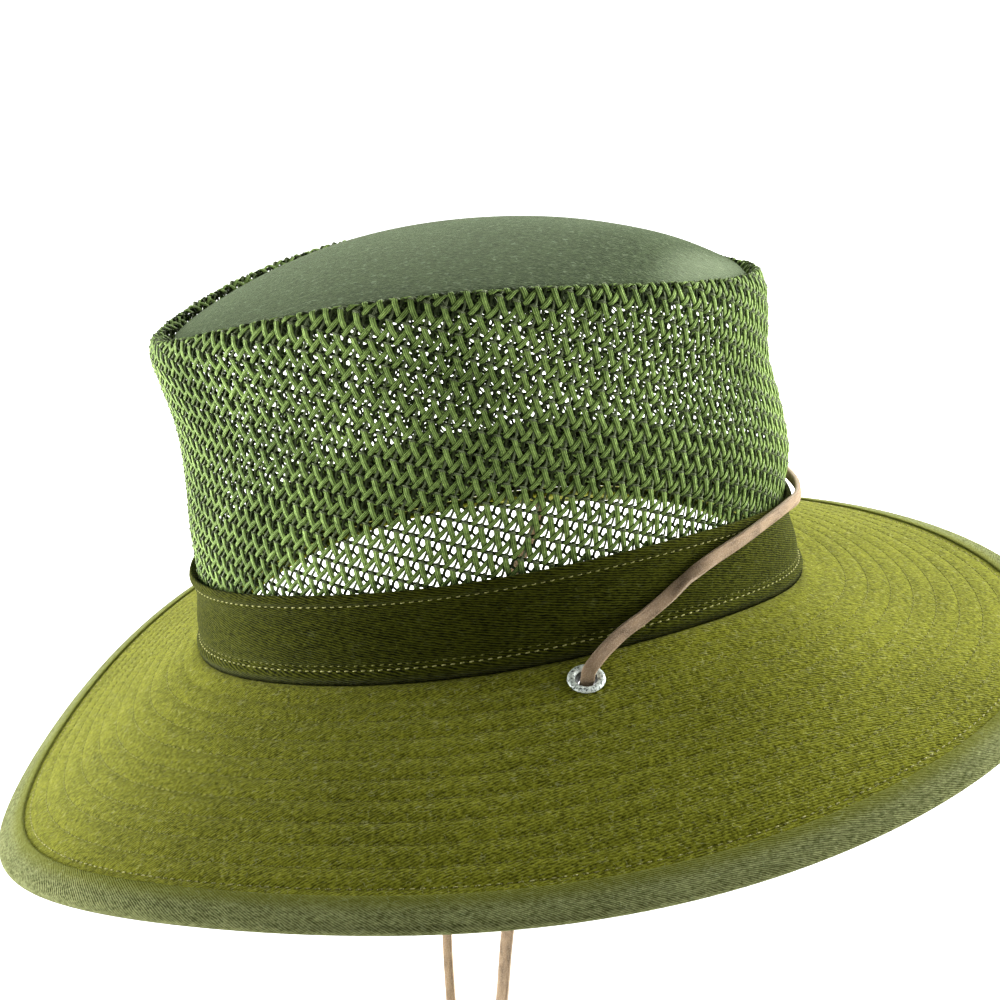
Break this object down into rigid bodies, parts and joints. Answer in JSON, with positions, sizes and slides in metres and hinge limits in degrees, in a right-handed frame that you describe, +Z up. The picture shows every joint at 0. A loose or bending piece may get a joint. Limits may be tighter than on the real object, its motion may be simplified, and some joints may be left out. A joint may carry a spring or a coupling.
{
  "type": "fishing hat",
  "caption": "Wide-brimmed fishing hat with a see-through knitted crown, twill top, band and bound brim, and a leather chin lace through eyelets.",
  "frame": {"origin": "middle of the head opening, level with the brim seam at the front", "axes": "+Z up through the crown, -Y the front of the hat, +X the wearer's left"},
  "size_m": [0.3346, 0.3723, 0.4263],
  "materials": {
    "tip_twill": "matt brushed cotton twill",
    "knit": "open knit of flat yarn",
    "band_twill": "matt cotton twill",
    "brim_twill": "matt brushed cotton twill, row-stitched",
    "binding_twill": "matt cotton twill tape",
    "eyelet_metal": "dull speckled plating",
    "lace_leather": "dry taupe leather",
    "slide_wood": "oiled dark wood"
  },
  "bodies": {
    "root": {"crown_tip": "tip_twill", "crown_mesh": "knit", "band": "band_twill", "brim": "brim_twill", "brim_binding": "binding_twill", "eyelet_left": "eyelet_metal", "eyelet_right": "eyelet_metal", "chin_lace_crown": "lace_leather", "chin_lace_left": "lace_leather", "chin_lace_right": "lace_leather", "lace_slide": "slide_wood"}
  },
  "joints": []
}
